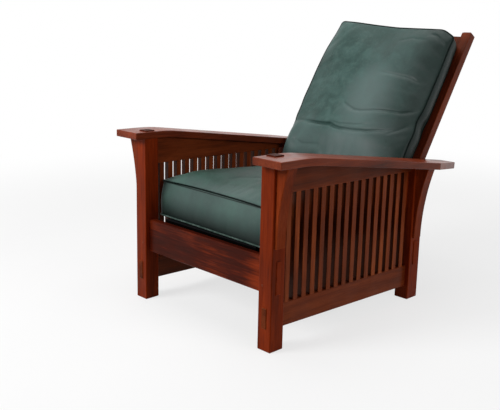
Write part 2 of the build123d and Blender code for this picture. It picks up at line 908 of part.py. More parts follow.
# Back cushion: leans on the slats, narrower at its rear seam than at its front one
back_rest = stile_half + soft_gap
back_low = back_cushion_start
back_high = stile_length - back_cushion_top_drop
back_half = stile_outer - back_cushion_side_gap
back_rear_half = back_half - back_cushion_taper
back_seam = stile_half + back_welt_height
back_spread = back_half - back_rear_half
back_boxing = []
for fall_share, spread_share in zip(back_fall_shares, back_spread_shares):
    inset = (1 - spread_share) * back_rear_inset
    back_boxing.append(
        cushion_outline(
            back_plane(back_rest + fall_share * (back_seam - back_rest)),
            back_rear_half + spread_share * back_spread,
            back_low + inset,
            back_high - inset,
            back_corner_radius,
            back_draw_in,
        )
    )
back_front = crown(
    back_plane,
    back_seam,
    back_crown,
    back_half,
    back_low,
    back_high,
    back_corner_radius,
    back_draw_in,
)
with BuildPart() as back_cushion:
    loft(back_boxing, ruled=True)
    loft(back_front, ruled=True)
save(back_cushion, "back_cushion")

print("pivot", frame_plane.from_local_coords((0, pivot_depth, pivot_height)))
print("peg", peg_axis_origin)
print("box depth from", foremost, "to", rearmost)
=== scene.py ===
import math
from functools import reduce

import bmesh
import bpy
import numpy as np
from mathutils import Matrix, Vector


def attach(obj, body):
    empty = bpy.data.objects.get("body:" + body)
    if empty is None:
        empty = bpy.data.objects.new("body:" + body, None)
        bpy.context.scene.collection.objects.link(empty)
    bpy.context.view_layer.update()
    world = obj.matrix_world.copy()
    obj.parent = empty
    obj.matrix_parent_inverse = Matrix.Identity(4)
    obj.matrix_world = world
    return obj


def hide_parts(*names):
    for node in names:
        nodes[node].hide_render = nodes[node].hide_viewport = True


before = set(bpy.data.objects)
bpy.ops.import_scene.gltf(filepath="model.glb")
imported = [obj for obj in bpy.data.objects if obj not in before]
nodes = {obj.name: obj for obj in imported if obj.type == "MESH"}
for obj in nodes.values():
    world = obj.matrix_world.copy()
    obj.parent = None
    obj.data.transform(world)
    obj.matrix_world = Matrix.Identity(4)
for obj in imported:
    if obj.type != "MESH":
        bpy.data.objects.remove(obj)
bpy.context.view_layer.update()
scene = bpy.context.scene

# ---------------------------------------------------------------- places
# The chair frame leans back a little, the seat slopes and the back reclines.
LEAN = math.radians(1.7)
SEAT_SLOPE = LEAN + math.radians(4.6)
TILT = LEAN + math.radians(31)
ORIGIN = (0.0, -0.55662, 0.0)
SIDE = np.array([1.0, 0.0, 0.0])


def in_frame(x, depth, height):
    """Point of the leaning chair frame, in millimetres, as a point in metres."""
    c, s = math.cos(LEAN), math.sin(LEAN)
    return np.array([x, depth * c + height * s, height * c - depth * s]) / 1000 + ORIGIN


# each cushion has its own space: across, along the cushion, and out of its face
SEAT_AT = in_frame(0, 376, 278.05)
SEAT_ALONG = np.array([0.0, math.cos(SEAT_SLOPE), -math.sin(SEAT_SLOPE)])
SEAT_OUT = np.array([0.0, math.sin(SEAT_SLOPE), math.cos(SEAT_SLOPE)])
BACK_AT = np.array([0.0, 0.176886, 0.326476])
BACK_ALONG = np.array([0.0, math.sin(TILT), math.cos(TILT)])
BACK_OUT = np.array([0.0, -math.cos(TILT), math.sin(TILT)])


def seat_space(p):
    """A point of the seat cushion's space, in millimetres, as a point in metres."""
    p = np.asarray(p) / 1000
    return SEAT_AT + p[..., 0:1] * SIDE + p[..., 1:2] * SEAT_ALONG + p[..., 2:3] * SEAT_OUT


def back_space(p):
    """A point of the back cushion's space, in millimetres, as a point in metres."""
    p = np.asarray(p) / 1000
    return BACK_AT + p[..., 0:1] * SIDE + p[..., 1:2] * BACK_ALONG + p[..., 2:3] * BACK_OUT


# ---------------------------------------------------------------- node helpers
class Mat:
    """A small helper for building a node material."""

    def __init__(self, name):
        self.mat = bpy.data.materials.new(name)
        self.mat.use_nodes = True
        self.tree = self.mat.node_tree
        self.tree.nodes.clear()
        self.out = self.node("OutputMaterial")
        self.bsdf = self.node("BsdfPrincipled")
        self.link(self.bsdf.outputs[0], self.out.inputs[0])

    def node(self, kind):
        return self.tree.nodes.new("ShaderNode" + kind)

    def link(self, a, b):
        self.tree.links.new(a, b)

    def put(self, socket, value):
        """Link an output to a socket, or set the socket to a plain value."""
        if isinstance(value, bpy.types.NodeSocket):
            self.link(value, socket)
        else:
            socket.default_value = value

    def set(self, **values):
        """Set or link the shader's own sockets; base_color stands for Base Color."""
        for key, value in values.items():
            words = ["IOR" if w == "ior" else w.capitalize() for w in key.split("_")]
            self.put(self.bsdf.inputs[" ".join(words)], value)

    def coords(self):
        return self.node("TexCoord").outputs["Object"]

    def normal(self):
        return self.node("NewGeometry").outputs["True Normal"]

    def mapping(self, vector, scale=(1, 1, 1), rotation=(0, 0, 0), location=(0, 0, 0)):
        n = self.node("Mapping")
        self.link(vector, n.inputs["Vector"])
        n.inputs["Scale"].default_value = scale
        n.inputs["Rotation"].default_value = rotation
        n.inputs["Location"].default_value = location
        return n.outputs[0]

    def noise(self, vector, scale, detail=3.0, rough=0.5, distortion=0.0):
        n = self.node("TexNoise")
        self.link(vector, n.inputs["Vector"])
        n.inputs["Scale"].default_value = scale
        n.inputs["Detail"].default_value = detail
        n.inputs["Roughness"].default_value = rough
        n.inputs["Distortion"].default_value = distortion
        return n.outputs["Fac"]

    def voronoi(self, vector, scale, feature="F1"):
        n = self.node("TexVoronoi")
        n.feature = feature
        self.link(vector, n.inputs["Vector"])
        n.inputs["Scale"].default_value = scale
        return n.outputs["Distance"]

    def ramp(self, fac, stops):
        n = self.node("ValToRGB")
        self.link(fac, n.inputs[0])
        els = n.color_ramp.elements
        while len(els) < len(stops):
            els.new(0.5)
        for el, (pos, col) in zip(els, stops):
            el.position = pos
            el.color = (*col, 1)
        return n.outputs["Color"]

    def span(self, value, lo, hi, to_lo=0.0, to_hi=1.0):
        """Smooth step from to_lo at lo to to_hi at hi."""
        n = self.node("MapRange")
        n.interpolation_type = "SMOOTHSTEP"
        self.link(value, n.inputs["Value"])
        n.inputs["From Min"].default_value = lo
        n.inputs["From Max"].default_value = hi
        n.inputs["To Min"].default_value = to_lo
        n.inputs["To Max"].default_value = to_hi
        return n.outputs["Result"]

    def math(self, op, a, b=0.0):
        n = self.node("Math")
        n.operation = op
        self.put(n.inputs[0], a)
        self.put(n.inputs[1], b)
        return n.outputs[0]

    def add(self, a, b):
        return self.math("ADD", a, b)

    def sub(self, a, b):
        return self.math("SUBTRACT", a, b)

    def mul(self, a, b):
        return self.math("MULTIPLY", a, b)

    def most(self, *values):
        return reduce(lambda a, b: self.math("MAXIMUM", a, b), values)

    def dot(self, a, b):
        n = self.node("VectorMath")
        n.operation = "DOT_PRODUCT"
        self.put(n.inputs[0], a)
        self.put(n.inputs[1], b)
        return n.outputs["Value"]

    def mix(self, fac, a, b, blend="MIX"):
        n = self.node("Mix")
        n.data_type = "RGBA"
        n.blend_type = blend
        self.put(n.inputs["Factor"], fac)
        for key, v in (("A", a), ("B", b)):
            socket = [s for s in n.inputs if s.name == key and s.type == "RGBA"][0]
            self.put(socket, (*v, 1) if isinstance(v, tuple) else v)
        return [s for s in n.outputs if s.type == "RGBA"][0]

    def split(self, vector):
        n = self.node("SeparateXYZ")
        self.link(vector, n.inputs[0])
        return n.outputs

    def bump(self, height, strength, distance, normal=None):
        n = self.node("Bump")
        n.inputs["Strength"].default_value = strength
        n.inputs["Distance"].default_value = distance
        self.link(height, n.inputs["Height"])
        if normal is not None:
            self.link(normal, n.inputs["Normal"])
        return n.outputs[0]

    def arris(self, radius, lo=0.02, hi=0.22):
        """1 on arrises, where the wood wears, 0 on flats."""
        bevel = self.node("Bevel")
        bevel.samples = 4
        bevel.inputs["Radius"].default_value = radius
        smooth_face = self.node("NewGeometry").outputs["Normal"]
        return self.span(self.sub(1.0, self.dot(bevel.outputs[0], smooth_face)), lo, hi)


def srgb(r, g, b):
    """Colour written in 0-255 display values, as linear numbers."""
    out = []
    for v in (r, g, b):
        v /= 255
        out.append(v / 12.92 if v <= 0.04045 else ((v + 0.055) / 1.055) ** 2.4)
    return tuple(out)


def scaled(colour, share):
    return tuple(min(1, share * v) for v in colour)


# ---------------------------------------------------------------- wood
def wood(name, grain, stain, lean=LEAN, shift=(0, 0, 0), rough=0.40, coat=0.03, shine=0.13,
         tint=(1.0, 0.50, 0.28), end=0.25, end_colour=None, tip=None, shaded_flanks=0.0, painted_light_step=None):
    """Stained, varnished hardwood with its grain along one axis of the object.

    stain is the light, middle and dark colour. end is how far end grain goes to end_colour, tip
    the height in metres above which the wood is dark all round. Painted shade darkens the faces
    towards the neighbours by the flank share, and the step in x lightens the board with painted
    light where no shadow falls on it."""
    light, mid, dark = (srgb(*colour) for colour in stain)
    very_dark = scaled(mid, 0.12)
    m = Mat(name)
    base = m.mapping(m.coords(), rotation=(lean, 0, 0), location=shift)

    def squeezed(share):
        """Coordinates squeezed along the grain, so that a pattern is drawn out."""
        return m.mapping(base, scale=tuple(share if axis == grain else 1 for axis in "xyz"))

    along = squeezed(0.06)
    wander = m.noise(squeezed(0.389), 9, 3, 0.55)
    figure = m.noise(along, 26, 5, 0.6, 0.35)
    fibres = m.noise(along, 190, 4, 0.65, 0.15)
    pores = m.noise(squeezed(0.03), 620, 2, 0.6)
    board = m.noise(squeezed(0.05), 7.5, 1, 0.4)
    blend = m.add(m.mul(figure, 0.62), m.mul(fibres, 0.38))
    blend = m.add(blend, m.mul(m.sub(wander, 0.5), 0.45))
    # painted light: a step in x lightens the board where no shadow falls on it
    if painted_light_step is not None:
        blend = m.add(blend, m.span(m.split(base)[0], *painted_light_step))
    colour = m.ramp(blend, ((0.30, dark), (0.50, mid), (0.72, light)))
    deep = m.span(pores, 0.60, 0.72)
    colour = m.mix(m.mul(deep, 0.40), colour, scaled(dark, 0.35))
    colour = m.mix(m.span(board, 0.30, 0.72, 0.0, 0.34), colour, scaled(mid, 0.62))
    end_normal = {
        "x": (1, 0, 0),
        "y": (0, math.cos(lean), -math.sin(lean)),
        "z": (0, math.sin(lean), math.cos(lean)),
    }[grain]
    ends = m.span(m.math("ABSOLUTE", m.dot(m.normal(), end_normal)), 0.86, 0.97)
    colour = m.mix(m.mul(ends, end), colour, end_colour or very_dark)
    if shaded_flanks:
        # painted shade on the faces between neighbouring pieces, which the neighbours shadow
        across = m.math("ABSOLUTE", m.split(m.normal())[1])
        colour = m.mix(m.span(across, 0.80, 0.97, 0.0, shaded_flanks), colour, scaled(dark, 0.30))
    wear = m.mul(m.arris(0.0022), m.span(wander, 0.35, 0.65, 0.15, 0.75))
    colour = m.mix(m.mul(wear, 0.55), colour, scaled(light, 1.7))
    if tip is not None:
        # the end that stands proud of the arm is dark on its sides too
        above = m.span(m.split(base)[2], tip - 0.0006, tip + 0.0006, 0.0, 0.86)
        colour = m.mix(above, colour, very_dark)
    gloss = m.span(m.noise(base, 14, 3, 0.5), 0.3, 0.7, rough - 0.06, rough + 0.08)
    roughness = m.add(m.add(gloss, m.mul(deep, 0.10)), m.mul(ends, 0.18))
    height = m.add(m.mul(fibres, 0.5), m.mul(deep, -0.9))
    ripple = m.bump(m.noise(base, 22, 2, 0.5), 0.10, 0.002)
    m.set(
        base_color=colour, roughness=roughness, normal=m.bump(height, 0.22, 0.0004, ripple),
        ior=1.5, specular_ior_level=shine, specular_tint=(*tint, 1),
        coat_weight=coat, coat_roughness=0.16,
    )
    m.mat.diffuse_color = (*mid, 1)
    return m.mat


POST_TIP = 0.5957
wood_z = wood(
    "wood_upright", "z", ((164, 62, 22), (128, 42, 11), (74, 23, 7)),
    coat=0.0, shine=0.09, end=0.9, tip=POST_TIP,
)
wood_z2 = wood(
    "wood_spindle", "z", ((172, 84, 38), (126, 54, 22), (72, 27, 12)), rough=0.44, shaded_flanks=0.72,
)
wood_y = wood("wood_side_rail", "y", ((148, 68, 32), (112, 46, 19), (66, 25, 11)), rough=0.44)
# the seat rails' dark tones are partly painted shadow, and the step near the sitter's left end is
# painted light
wood_x = wood(
    "wood_seat_rail", "x", ((142, 52, 20), (68, 19, 8), (36, 10, 5)),
    shine=0.06, end=0.9, end_colour=srgb(134, 49, 19), painted_light_step=(0.19, 0.29, 0.0, 0.18),
)
wood_arm = wood(
    "wood_arm", "y", ((150, 66, 34), (114, 44, 20), (68, 25, 12)),
    rough=0.34, coat=0.09, shine=0.14, end=0.05, tint=(1.0, 0.66, 0.5),
)
wood_corbel = wood(
    "wood_corbel", "z", ((168, 72, 30), (132, 50, 18), (78, 27, 11)),
    shift=(0.3, 0.2, 0.1), coat=0.0, shine=0.09,
)
wood_back = wood("wood_back", "z", ((146, 64, 34), (110, 44, 21), (62, 22, 11)), lean=TILT)
wood_back_x = wood(
    "wood_back_cross", "x", ((134, 60, 32), (98, 38, 18), (56, 20, 10)), lean=TILT,
)
wood_peg = wood(
    "wood_peg", "x", ((142, 62, 34), (104, 40, 20), (58, 20, 11)), shift=(0.1, 0.4, 0.2),
)
# the seat frame is near black and has no shine: partly its own dark colour, partly painted shade
# under the cushion
frame_black_and_shade = wood(
    "wood_seat_frame", "x", ((16, 13, 12), (10, 8, 8), (6, 5, 5)),
    rough=0.8, coat=0.0, shine=0.0,
)


def straps(name):
    """Black woven strap with a fine rib."""
    ribs_per_metre = 2600.0
    m = Mat(name)
    base = m.mapping(m.coords(), rotation=(SEAT_SLOPE, 0, 0))
    x, y, _ = m.split(base)
    ribs = m.math("SINE", m.mul(m.add(x, y), ribs_per_metre))
    cross = m.math("SINE", m.mul(m.sub(x, y), ribs_per_metre))
    weave = m.mul(m.add(ribs, cross), 0.5)
    dirt = m.noise(base, 40, 3, 0.6)
    colour = m.mix(m.span(weave, -1, 1), srgb(8, 8, 9), srgb(24, 24, 26))
    m.set(
        base_color=m.mix(m.span(dirt, 0.4, 0.7, 0, 0.2), colour, srgb(36, 34, 31)),
        roughness=m.span(dirt, 0.3, 0.7, 0.78, 0.92), normal=m.bump(weave, 0.5, 0.0004),
        specular_ior_level=0.03,
    )
    return m.mat


def steel(name):
    """Plain drawn steel rod."""
    m = Mat(name)
    lines = m.noise(m.mapping(m.coords(), scale=(0.05, 1, 1)), 700, 3, 0.6)
    m.set(
        base_color=m.ramp(lines, ((0.3, (0.32, 0.32, 0.33)), (0.7, (0.52, 0.52, 0.53)))),
        roughness=m.span(lines, 0.3, 0.7, 0.26, 0.42), normal=m.bump(lines, 0.15, 0.0002),
        metallic=1.0,
    )
    return m.mat


# ---------------------------------------------------------------- leather
def leather(name, tilt, at, seam, low, wear_and_sheen, near=None, high=None, cast=(1.0, 1.0, 1.0),
            shine=0.16):
    """Soft green leather: fine grain, pull-up marks, and pale patches of wear and painted sheen.

    tilt and at give the cushion's own space, and seam the height of its top seam there, in metres.
    The pale patches, partly wear and partly painted sheen, are listed as x, y, their half sizes
    and strength. Painted shade darkens the leather towards the bottom (low, as shares of seam),
    the sitter's left (near) and the crown (high): each is two places and a strength."""
    m = Mat(name)
    centred = m.mapping(m.coords(), location=tuple(-v for v in at))
    local = m.mapping(centred, rotation=(-tilt, 0, 0))
    x, y, z = m.split(local)
    cloud = m.noise(local, 3.4, 4, 0.55)
    mottle = m.noise(local, 17, 5, 0.62, 0.4)
    fine = m.noise(local, 75, 4, 0.6)
    greens = ((0.35, srgb(27, 52, 46)), (0.50, srgb(49, 75, 70)), (0.65, srgb(70, 98, 93)))
    colour = m.ramp(m.add(m.mul(cloud, 0.55), m.mul(mottle, 0.45)), greens)
    colour = m.mix(1.0, colour, cast, "MULTIPLY")
    # pale patches: partly wear, partly painted sheen
    patches = []
    for cx, cy, rx, ry, amount in wear_and_sheen:
        dx = m.math("DIVIDE", m.sub(x, cx), rx)
        dy = m.math("DIVIDE", m.sub(y, cy), ry)
        r2 = m.add(m.add(m.mul(dx, dx), m.mul(dy, dy)), m.mul(m.sub(mottle, 0.5), 1.3))
        patches.append(m.span(r2, 1.3, -0.2, 0.0, amount))
    colour = m.mix(m.most(*patches), colour, srgb(106, 121, 120))
    rubbed = m.span(m.add(fine, m.mul(cloud, 0.4)), 0.68, 0.95, 0.0, 0.30)
    colour = m.mix(rubbed, colour, srgb(84, 104, 98))
    # painted shade in a fine line beside the seam
    shades = [m.span(m.math("ABSOLUTE", m.sub(z, seam)), 0.0006, 0.0030, 0.9, 0.0)]
    # painted shade towards the bottom, and where given towards the sitter's left and over the
    # crown
    shades.append(m.span(z, seam * low[0], seam * low[1], low[2], 0.0))
    if near is not None:
        ragged = m.add(x, m.mul(m.sub(cloud, 0.5), 0.16))
        shades.append(m.span(ragged, near[0], near[1], 0.0, near[2]))
    if high is not None:
        shades.append(m.span(z, high[0], high[1], 0.0, high[2]))
    colour = m.mix(m.most(*shades), colour, srgb(11, 23, 20))
    cells = m.voronoi(m.mapping(local, scale=(1, 0.8, 1)), 620, "DISTANCE_TO_EDGE")
    pits = m.voronoi(local, 1300)
    grain = m.add(m.span(cells, 0.0, 0.16, 0.0, 0.7), m.mul(pits, 0.3))
    ripples = m.noise(m.mapping(local, scale=(1.0, 1.7, 1.0)), 30, 4, 0.55, 0.6)
    m.set(
        base_color=colour,
        roughness=m.add(m.span(mottle, 0.3, 0.7, 0.40, 0.50), m.mul(grain, -0.05)),
        normal=m.bump(grain, 0.20, 0.00035, m.bump(ripples, 0.13, 0.0022)),
        specular_ior_level=shine, sheen_weight=0.02, sheen_roughness=0.5,
    )
    return m.mat


leather_seat = leather(
    "leather_seat", -SEAT_SLOPE, tuple(SEAT_AT), seam=0.128, low=(0.05, 0.76, 0.97),
    wear_and_sheen=(
        (0.10, -0.20, 0.20, 0.12, 0.10),
        (0.10, -0.32, 0.24, 0.08, 0.38),
        (-0.12, -0.32, 0.20, 0.07, 0.38),
    ),
    high=(0.155, 0.192, 0.48), cast=(0.90, 1.0, 0.88), shine=0.11,
)
leather_back = leather(
    "leather_back", math.pi / 2 - TILT, tuple(BACK_AT), seam=0.099, low=(0.2, 0.9, 0.30),
    wear_and_sheen=(
        (0.06, 0.35, 0.13, 0.19, 0.58),
        (0.05, 0.14, 0.17, 0.11, 0.64),
        (0.14, 0.24, 0.13, 0.06, 0.45),
        (-0.19, 0.14, 0.14, 0.12, 0.34),
        (0.09, 0.50, 0.14, 0.18, 0.20),
    ),
    near=(0.07, 0.28, 0.86),
)


def welt_leather(name, dark, light):
    """Leather of the piping, with finer marks."""
    m = Mat(name)
    base = m.coords()
    spots = m.noise(base, 60, 4, 0.6)
    m.set(
        base_color=m.ramp(spots, ((0.35, dark), (0.7, light))),
        roughness=m.span(spots, 0.3, 0.7, 0.36, 0.5),
        normal=m.bump(m.voronoi(base, 700, "DISTANCE_TO_EDGE"), 0.25, 0.0003),
        specular_ior_level=0.04,
    )
    return m.mat


# the piping's leather in two colours: darkened with painted shade for the seam's shaded groove,
# and lightened with a painted highlight for the lit piping under the seat
welt_painted_shade = welt_leather("leather_welt", srgb(4, 12, 10), srgb(14, 28, 24))
welt_painted_highlight = welt_leather("leather_welt_low", srgb(58, 76, 70), srgb(92, 108, 102))

# ---------------------------------------------------------------- dress the CAD nodes
by_name = (
    ("front_post", wood_z), ("rear_post", wood_z), ("arm_", wood_arm),
    ("front_corbel", wood_corbel), ("rear_corbel", wood_corbel),
    ("lower_side_rail", wood_y), ("upper_side_rail", wood_y), ("spindle", wood_z2),
    ("front_seat_rail", wood_x), ("rear_seat_rail", wood_x),
    ("seat_cleats", frame_black_and_shade), ("seat_frame", frame_black_and_shade), ("seat_webbing", straps("webbing")),
    ("back_stile", wood_back), ("back_top_rail", wood_back_x), ("back_slats", wood_back_x),
    ("pivot_pins", steel("pin_steel")), ("peg_", wood_peg),
)
for node_name, obj in nodes.items():
    for start, mat in by_name:
        if node_name.startswith(start):
            obj.data.materials.clear()
            obj.data.materials.append(mat)
            break


# ---------------------------------------------------------------- cushion outlines
CORNER_STEPS = 6
SIDE_STEPS = 40


def side_points(p0, p1, corner, draw, inward, n):
    """Points along one side of a cushion outline, from mid corner to mid corner."""
    p0, p1 = np.array(p0, float), np.array(p1, float)
    length = np.linalg.norm(p1 - p0)
    e = (p1 - p0) / length
    pts = []
    for a in np.linspace(45, 0, CORNER_STEPS)[:-1]:
        a = math.radians(a)
        pts.append(p0 + e * corner * (1 - math.sin(a)) + inward * corner * (1 - math.cos(a)))
    for t in np.linspace(0, 1, SIDE_STEPS):
        q = p0 + e * (corner + t * (length - 2 * corner))
        pts.append(q + inward * draw * math.sin(math.pi * t) ** 1.2)
    for a in np.linspace(0, 45, CORNER_STEPS)[1:]:
        a = math.radians(a)
        pts.append(p1 - e * corner * (1 - math.sin(a)) + inward * corner * (1 - math.cos(a)))
    pts = np.array(pts)
    d = np.r_[0, np.cumsum(np.linalg.norm(np.diff(pts, axis=0), axis=1))]
    s = np.linspace(0, d[-1], n)
    return np.column_stack([np.interp(s, d, pts[:, 0]), np.interp(s, d, pts[:, 1])])


def panel(half, low, high, corner, draw, nx, ny):
    """Grid of points filling a cushion outline, [row][column] -> x, y."""
    c0 = side_points((-half, low), (half, low), corner, draw, np.array([0, 1.0]), nx)
    c1 = side_points((-half, high), (half, high), corner, draw, np.array([0, -1.0]), nx)
    d0 = side_points((-half, low), (-half, high), corner, draw, np.array([1.0, 0]), ny)
    d1 = side_points((half, low), (half, high), corner, draw, np.array([-1.0, 0]), ny)
    u = np.linspace(0, 1, nx)[None, :, None]
    v = np.linspace(0, 1, ny)[:, None, None]
    grid = (1 - v) * c0[None] + v * c1[None] + (1 - u) * d0[:, None] + u * d1[:, None]
    grid -= (
        (1 - u) * (1 - v) * c0[0] + u * (1 - v) * c0[-1]
        + (1 - u) * v * c1[0] + u * v * c1[-1]
    )
    return grid


def rim(grid):
    """The panel's outer ring, once round."""
    return np.concatenate([grid[0, :-1], grid[:-1, -1], grid[-1, :0:-1], grid[:0:-1, 0]])


def crown_height(seam, rise, half, low, high):
    """Height of a crowned panel over its outline."""
    fullness, steepness = 5.0, 0.42

    def height(grid):
        x, y = grid[..., 0], grid[..., 1]
        reach = min(half, (high - low) / 2)
        ex = np.clip((half - np.abs(x)) / reach, 0, 1)
        ey = np.clip((np.minimum(y - low, high - y)) / reach, 0, 1)
        fx = 1 - (1 - ex) ** fullness
        fy = 1 - (1 - ey) ** fullness
        return seam + rise * np.clip(fx * fy, 0, 1) ** steepness
    return height


RIM_LIFT = 3.0
RIM_WIDTH = 22


def rest_height(rest, half, low, high, margin):
    """Height of a panel that lies flat, and lifts a little towards its rim."""
    def height(grid):
        x, y = grid[..., 0], grid[..., 1]
        inside = np.minimum(half - np.abs(x), np.minimum(y - low - margin, high - margin - y))
        return rest + RIM_LIFT * (1 - np.clip(inside / RIM_WIDTH, 0, 1)) ** 2
    return height


def ring_between(top_rim, under_rim, share, z, bulge, centre):
    """One row of the boxing, part of the way down, pushed out a little."""
    xy = top_rim * (1 - share) + under_rim * share
    away = xy - centre
    away /= np.linalg.norm(away, axis=1, keepdims=True)
    reach = np.abs(xy - centre) / np.abs(xy - centre).max(0)
    # near the corners it bulges half as far
    middle = 1 - 0.5 * np.clip((reach.min(1) - 0.80) / 0.16, 0, 1)
    xy = xy + away * bulge * middle[:, None]
    return np.column_stack([xy, np.full(len(xy), z)])


# ---------------------------------------------------------------- cushion meshes
def boxed_mesh(name, top, under, rings, place, top_height, under_height):
    """Closed cushion: a top panel, a boxing strip through rings, and an under panel.

    top and under are grids of x, y; rings are rows of x, y, z between the two, top first."""
    ny, nx = top.shape[:2]
    verts = [np.dstack([top, top_height(top)]).reshape(-1, 3)]
    faces = []
    i = np.arange(nx * ny).reshape(ny, nx)
    for r in range(ny - 1):
        for c in range(nx - 1):
            faces.append((i[r, c], i[r, c + 1], i[r + 1, c + 1], i[r + 1, c]))
    loop = rim(i)
    count = nx * ny
    ring_ids = [loop]
    for ring in rings:
        ids = np.arange(count, count + len(loop))
        verts.append(ring)
        count += len(loop)
        ring_ids.append(ids)
    base = count
    verts.append(np.dstack([under, under_height(under)]).reshape(-1, 3))
    for r in range(ny - 1):
        for c in range(nx - 1):
            corners = (i[r, c], i[r + 1, c], i[r + 1, c + 1], i[r, c + 1])
            faces.append(tuple(base + v for v in corners))
    ring_ids.append(base + loop)
    for a, b in zip(ring_ids[:-1], ring_ids[1:]):
        n = len(a)
        for k in range(n):
            faces.append((a[k], b[k], b[(k + 1) % n], a[(k + 1) % n]))
    pts = np.concatenate(verts)
    mesh = bpy.data.meshes.new(name)
    mesh.from_pydata([tuple(p) for p in place(pts)], [], [tuple(int(v) for v in f) for f in faces])
    mesh.validate()
    obj = bpy.data.objects.new(name, mesh)
    scene.collection.objects.link(obj)
    return obj, len(pts), ring_ids, base


def coords_of(mesh):
    out = np.empty(len(mesh.vertices) * 3)
    mesh.vertices.foreach_get("co", out)
    return out.reshape(-1, 3)


def set_coords(mesh, pts):
    mesh.vertices.foreach_set("co", np.asarray(pts, float).reshape(-1))
    mesh.update()


SWELL_FRAMES = 20
EASE_ROUNDS = 12
KEPT_DETAIL = 0.12


def inflate(obj, pinned, caps):
    """Cloth simulation: the cover swells against its seams, then the result is kept.

    caps is how far each point may move, in millimetres."""
    start = coords_of(obj.data)
    group = obj.vertex_groups.new(name="pin")
    group.add([int(v) for v in pinned], 1.0, "REPLACE")
    mod = obj.modifiers.new("cloth", "CLOTH")
    cs = mod.settings
    cs.quality = 6
    cs.mass = 0.35
    cs.tension_stiffness = 22
    cs.compression_stiffness = 14
    cs.shear_stiffness = 9
    cs.bending_stiffness = 1.2
    cs.shrink_min = -0.02
    cs.use_pressure = True
    cs.uniform_pressure_force = 4.0
    cs.vertex_group_mass = "pin"
    cs.effector_weights.gravity = 0
    mod.collision_settings.use_collision = False
    for f in range(1, SWELL_FRAMES + 1):
        scene.frame_set(f)
    deps = bpy.context.evaluated_depsgraph_get()
    swollen = coords_of(obj.evaluated_get(deps).to_mesh())
    obj.modifiers.remove(mod)
    scene.frame_set(1)
    move = swollen - start
    size = np.linalg.norm(move, axis=1, keepdims=True)
    limit = np.asarray(caps)[:, None] / 1000
    move *= np.where(size > 1e-9, limit * np.tanh(size / limit) / np.maximum(size, 1e-9), 1.0)
    # most of the fine crumpling is averaged away between neighbours
    ends = np.empty(len(obj.data.edges) * 2, dtype=int)
    obj.data.edges.foreach_get("vertices", ends)
    ends = ends.reshape(-1, 2)
    count = np.bincount(ends.ravel(), minlength=len(move))[:, None]
    free = np.ones((len(move), 1))
    free[pinned] = 0
    soft = move.copy()
    for _ in range(EASE_ROUNDS):
        near = np.zeros_like(soft)
        np.add.at(near, ends[:, 0], soft[ends[:, 1]])
        np.add.at(near, ends[:, 1], soft[ends[:, 0]])
        soft += free * 0.5 * (near / count - soft)
    set_coords(obj.data, start + soft + KEPT_DETAIL * (move - soft))


NX, NY = ((92, 104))
TOP_CAP = 24.0


def make_cushion(name, place, top, under, flat, seam, rest, crown, shares, taper, bulge, middle,
                 side_cap):
    """Boxed cushion, swollen by the simulation; its seams stay where they are sewn.

    top and under are outlines: half width, low end, high end, corner radius and draw-in.
    flat is where the under panel lies level: half width, low end, high end and margin.
    shares are the rows of the boxing, as shares of the way down from the top seam."""
    top_grid, under_grid = panel(*top, NX, NY), panel(*under, NX, NY)
    centre = np.array([0, middle])
    rings = []
    for f in shares:
        z = seam + (rest + RIM_LIFT - seam) * f
        out = bulge * math.sin(math.pi * f)
        rings.append(ring_between(rim(top_grid), rim(under_grid), f ** taper, z, out, centre))
    obj, count, ring_ids, base = boxed_mesh(
        name, top_grid, under_grid, rings, place,
        crown_height(seam, crown, *top[:3]), rest_height(rest, *flat),
    )
    caps = np.full(count, side_cap)
    caps[: NX * NY] = TOP_CAP
    inflate(obj, list(range(base, count)) + list(ring_ids[0]), caps)
    return obj, ring_ids


SEAT_SEAM, BACK_SEAM = 127.0, 98.0
seat, seat_rings = make_cushion(
    "seat_cushion_leather", seat_space,
    top=(287.0, -319.0, 308.0, 12, 3), under=(283.0, -325.0, 305.0, 16, 2),
    flat=(287.0, -308.0, 308.0, 0.0), seam=SEAT_SEAM, rest=4.0, crown=33,
    shares=(0.04, 0.13, 0.23, 0.33, 0.43, 0.53, 0.63, 0.73, 0.83, 0.93),
    taper=1.0, bulge=8, middle=0.0, side_cap=4.0,
)
back, back_rings = make_cushion(
    "back_cushion_leather", back_space,
    top=(287.0, 44.0, 695.0, 17, 4), under=(253.0, 53.0, 686.0, 22, 0),
    flat=(253.0, 44.0, 695.0, 9), seam=BACK_SEAM, rest=17.0, crown=30,
    shares=(0.06, 0.18, 0.31, 0.44, 0.57, 0.70, 0.83, 0.94),
    taper=1.6, bulge=3, middle=369.5, side_cap=5.0,
)


# ---------------------------------------------------------------- shaping tools
def smooth_noise(p, seed, wavelengths, amplitude):
    """Sum of a few sine waves in fixed directions: soft uneven stuffing."""
    rng = np.random.default_rng(seed)
    out = np.zeros(len(p))
    for w in wavelengths:
        for _ in range(5):
            d = rng.normal(size=3)
            d /= np.linalg.norm(d)
            out += np.sin(p @ d * 2 * math.pi / w + rng.uniform(0, 6.28)) * w / wavelengths[0]
    return amplitude * out / (5 * len(wavelengths)) ** 0.5


def eased(x, xs, ys, blur):
    """Straight-line interpolation with its corners rounded over a width of blur each way."""
    return sum(np.interp(x + k * blur, xs, ys) for k in (-1, -0.5, 0, 0.5, 1)) / 5


